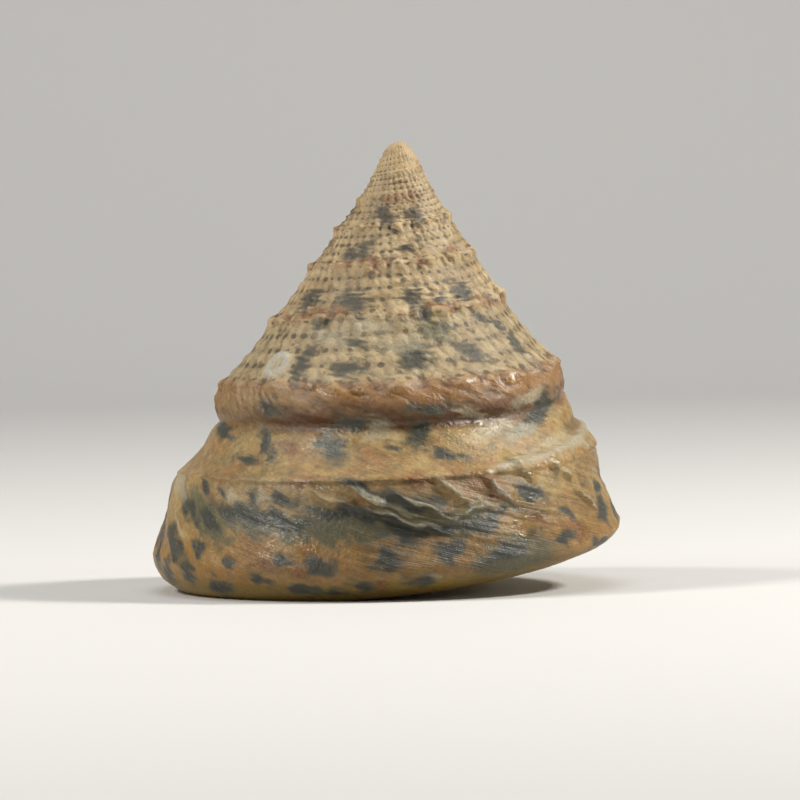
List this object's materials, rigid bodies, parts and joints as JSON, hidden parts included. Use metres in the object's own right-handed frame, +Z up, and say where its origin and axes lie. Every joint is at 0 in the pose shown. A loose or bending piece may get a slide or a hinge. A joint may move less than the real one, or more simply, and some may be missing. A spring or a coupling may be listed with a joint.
{
  "type": "top shell",
  "caption": "Conical sea snail shell with a beaded spire, a rolled ledge, a round-edged base and an oblique aperture, standing on its base.",
  "frame": {"origin": "middle of the shell's box at the level it stands on", "axes": "+Z up; -Y towards the side that the picture shows; the aperture is at the back, +Y"},
  "size_m": [0.0466, 0.0482, 0.0445],
  "materials": {
    "shell": "weathered calcium shell: buff and salmon with slate spots, satin with small wet-looking glints"
  },
  "bodies": {
    "root": {"shell": "shell"}
  },
  "joints": []
}
